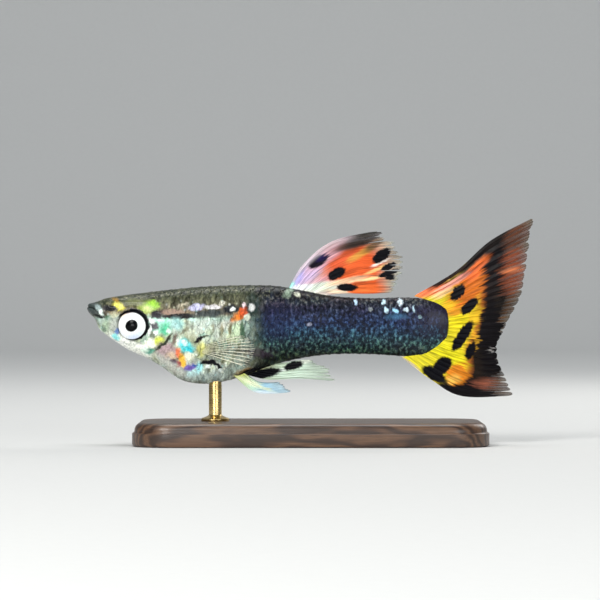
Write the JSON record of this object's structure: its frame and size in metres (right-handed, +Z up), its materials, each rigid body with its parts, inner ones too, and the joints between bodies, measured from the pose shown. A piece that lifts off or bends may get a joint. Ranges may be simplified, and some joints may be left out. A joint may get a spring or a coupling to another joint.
{
  "type": "life-size fancy guppy model",
  "caption": "Life-size still model of a male fancy guppy with spotted orange and yellow fins, held over a flat wooden base by one short rod.",
  "frame": {"origin": "middle of the underside of the stand's base", "axes": "+X from the snout towards the tail, +Z up, the fish's left side faces -Y"},
  "size_m": [0.038, 0.014, 0.0193],
  "materials": {
    "skin_silver": "iridescent silver and olive skin, glossy",
    "skin_dark": "dark blue scaled skin, glossy",
    "eye_white": "white iris, black pupil, wet gloss",
    "fin_orange": "orange fin membrane with black spots",
    "fin_yellow": "yellow and orange fin membrane with black blotches",
    "fin_clear": "pale see-through fin membrane",
    "stand_wood": "satin dark walnut",
    "stand_brass": "satin brass"
  },
  "bodies": {
    "root": {"head": "skin_silver", "lower_jaw": "skin_dark", "trunk": "skin_silver", "tail_stalk": "skin_dark", "tail_fin": "fin_yellow", "dorsal_fin": "fin_orange", "anal_fin": "fin_clear", "eye_left": "eye_white", "eye_right": "eye_white", "gill_cover_left": "skin_silver", "gill_cover_right": "skin_silver", "pelvic_fin_left": "fin_clear", "pelvic_fin_right": "fin_clear", "pectoral_fin_left": "fin_clear", "pectoral_fin_right": "fin_clear", "stand_base": "stand_wood", "stand_rod": "stand_brass"}
  },
  "joints": []
}
